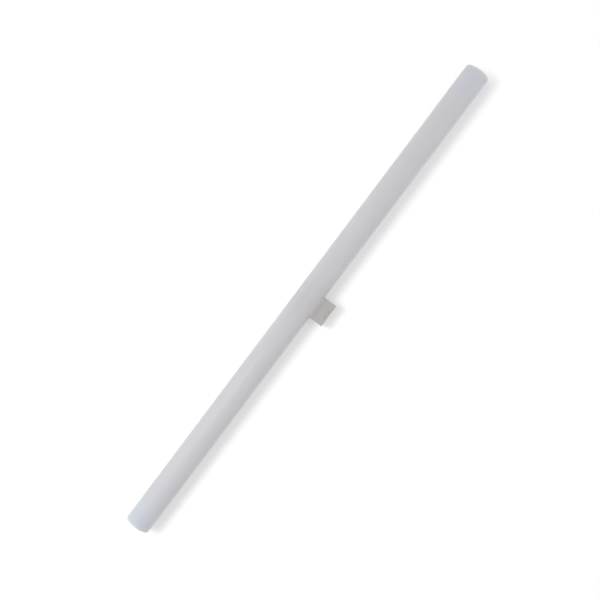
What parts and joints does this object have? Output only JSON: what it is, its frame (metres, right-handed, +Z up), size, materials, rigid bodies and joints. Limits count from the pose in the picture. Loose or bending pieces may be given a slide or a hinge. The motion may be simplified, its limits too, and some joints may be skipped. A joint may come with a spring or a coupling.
{
  "type": "tubular lamp with side cap",
  "caption": "Opal tubular lamp, closed at both ends, with a small moulded two-contact cap block in the middle of its side.",
  "frame": {"origin": "on the surface that the lamp lies on, midway along the tube and in the middle of the lamp's width with its cap", "axes": "+X along the tube, +Z up from the surface, and the cap points to -Y, tipped 11.7 degrees down, as the lamp comes to rest"},
  "size_m": [0.5, 0.0358, 0.023],
  "materials": {
    "opal_tube": "satin",
    "cap_plastic": "matte",
    "contact_metal": "satin"
  },
  "bodies": {
    "root": {"tube": "opal_tube", "lamp_cap": "cap_plastic", "contact_left": "contact_metal", "contact_right": "contact_metal"}
  },
  "joints": []
}
